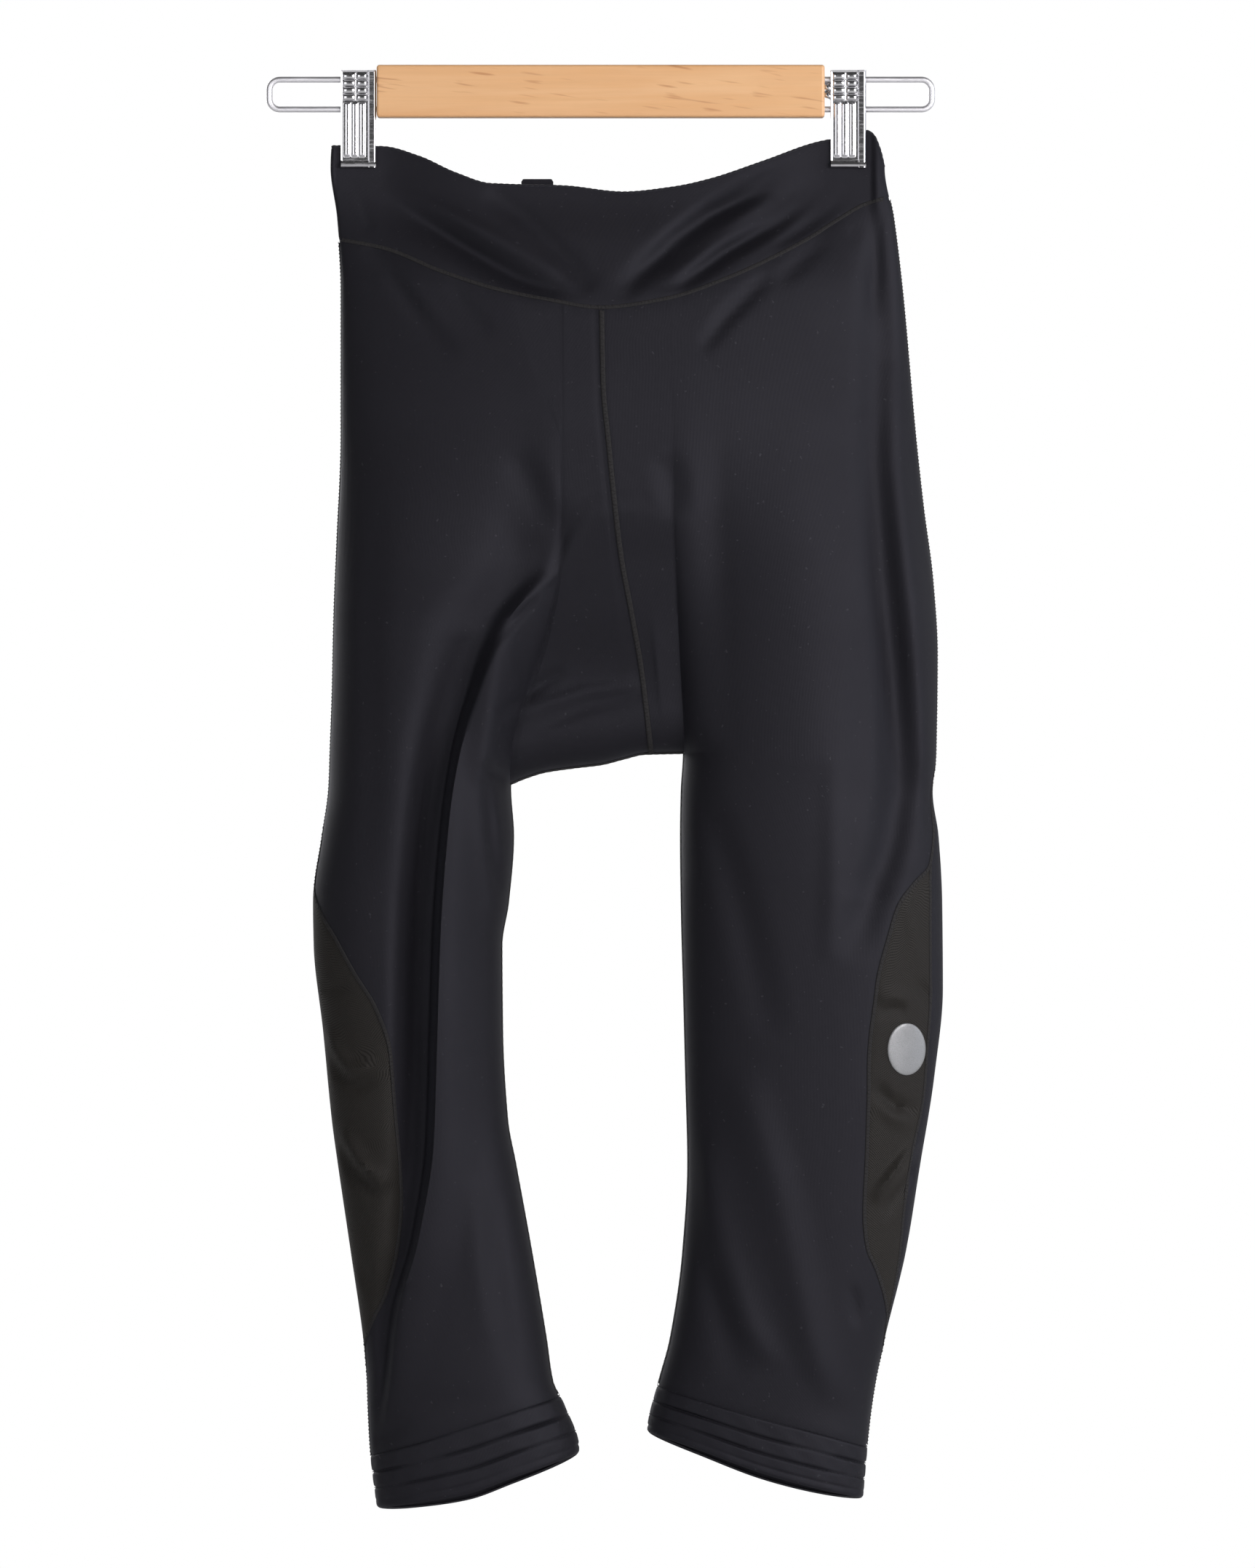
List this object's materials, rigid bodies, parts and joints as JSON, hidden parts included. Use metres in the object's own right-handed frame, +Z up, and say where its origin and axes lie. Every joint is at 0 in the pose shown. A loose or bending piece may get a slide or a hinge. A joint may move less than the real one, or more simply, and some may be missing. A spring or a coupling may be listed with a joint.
{
  "type": "cycling tights on a clip hanger",
  "caption": "Three-quarter cycling tights hanging open from a plain wooden clip hanger, with mesh knee panels, seat pad and banded hems.",
  "frame": {"origin": "centre of the hanger bar's flat top face, where the bar is hung", "axes": "+Z up along the garment's length, +X to the wearer's left, the garment's front facing -Y"},
  "size_m": [0.3897, 0.0988, 0.8347],
  "materials": {
    "cloth": "blue-black stretch knit with a soft satin sheen",
    "mesh": "matt brown-black mesh",
    "pad": "brushed seat pad",
    "tab": "woven tape",
    "film": "grey reflective film",
    "wood": "pale beech, satin",
    "chrome": "bright chrome plate"
  },
  "bodies": {
    "root": {"waistband_front": "cloth", "waistband_back": "cloth", "leg_front_right": "cloth", "leg_front_left": "cloth", "leg_back_right": "cloth", "leg_back_left": "cloth", "hem_right": "cloth", "hem_left": "cloth", "knee_panel_right": "mesh", "knee_panel_left": "mesh", "chamois_pad": "pad", "waist_tab": "tab", "knee_badge": "film", "hanger_bar": "wood", "wire_loop_right": "chrome", "wire_loop_left": "chrome", "clip_front_right": "chrome", "clip_back_right": "chrome", "clip_spring_right": "chrome", "clip_front_left": "chrome", "clip_back_left": "chrome", "clip_spring_left": "chrome"}
  },
  "joints": []
}
